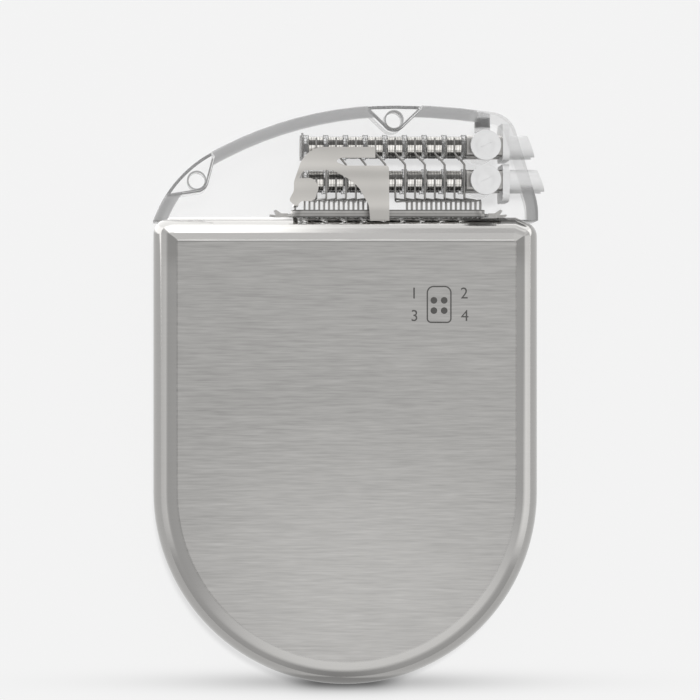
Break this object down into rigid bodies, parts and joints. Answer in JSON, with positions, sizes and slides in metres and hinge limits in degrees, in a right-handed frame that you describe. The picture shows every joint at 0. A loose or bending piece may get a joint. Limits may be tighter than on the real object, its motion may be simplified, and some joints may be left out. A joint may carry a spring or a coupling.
{
  "type": "spinal cord stimulator generator",
  "caption": "Implantable pulse generator: D-shaped brushed metal case with a rolled edge, and a clear header that holds lead connectors, antenna, feed wires and side ports.",
  "frame": {"origin": "on the flat back face, at the centre of the case's round end", "axes": "+X to the right of the front face, +Y towards the header, +Z out of the front face"},
  "size_m": [0.0505, 0.0746, 0.0115],
  "materials": {
    "titanium_shell": "brushed across the face, polished on the rolled edge",
    "titanium_parts": "satin machined",
    "antenna_sheet": "satin rolled sheet",
    "contact_alloy": "turned, bright",
    "feed_wire": "drawn, bright",
    "header_epoxy": "clear cast epoxy",
    "silicone_white": "translucent, smooth",
    "silicone_clear": "clear, smooth",
    "ceramic": "glazed alumina, stood in for by a gloss plastic",
    "battery_can": "drawn can",
    "carrier_polymer": "moulded",
    "liner_film": "amber film",
    "board_laminate": "solder mask",
    "chip_resin": "moulded"
  },
  "bodies": {
    "root": {"case_front_shell": "titanium_shell", "case_back_shell": "titanium_shell", "weld_band": "titanium_parts", "feedthrough_ferrule": "titanium_parts", "anchor_clip_left": "titanium_parts", "anchor_clip_right": "titanium_parts", "antenna": "antenna_sheet", "antenna_pin": "feed_wire", "feedthrough_pins": "feed_wire", "battery": "battery_can", "battery_terminal": "titanium_parts", "battery_tab_positive": "feed_wire", "battery_tab_negative": "feed_wire", "board_frame": "carrier_polymer", "liner_front": "liner_film", "liner_back": "liner_film", "circuit_board": "board_laminate", "controller_chip": "chip_resin", "output_chip": "chip_resin", "power_chip": "chip_resin", "capacitor_row": "chip_resin", "crystal_can": "battery_can", "feedthrough_ceramic": "ceramic", "fill_plug": "header_epoxy", "header_block": "header_epoxy", "port_boot_upper": "silicone_white", "port_boot_lower": "silicone_white", "contact_rings_upper_front": "contact_alloy", "seal_rings_upper_front": "silicone_clear", "end_cap_upper_front": "contact_alloy", "set_screw_block_upper_front": "titanium_parts", "set_screw_upper_front": "titanium_parts", "septum_plug_upper_front": "silicone_white", "feed_wires_upper_front": "feed_wire", "contact_rings_upper_rear": "contact_alloy", "seal_rings_upper_rear": "silicone_clear", "end_cap_upper_rear": "contact_alloy", "set_screw_block_upper_rear": "titanium_parts", "set_screw_upper_rear": "titanium_parts", "septum_plug_upper_rear": "silicone_white", "feed_wires_upper_rear": "feed_wire", "contact_rings_lower_front": "contact_alloy", "seal_rings_lower_front": "silicone_clear", "end_cap_lower_front": "contact_alloy", "set_screw_block_lower_front": "titanium_parts", "set_screw_lower_front": "titanium_parts", "septum_plug_lower_front": "silicone_white", "feed_wires_lower_front": "feed_wire", "contact_rings_lower_rear": "contact_alloy", "seal_rings_lower_rear": "silicone_clear", "end_cap_lower_rear": "contact_alloy", "set_screw_block_lower_rear": "titanium_parts", "set_screw_lower_rear": "titanium_parts", "septum_plug_lower_rear": "silicone_white", "feed_wires_lower_rear": "feed_wire"}
  },
  "joints": []
}
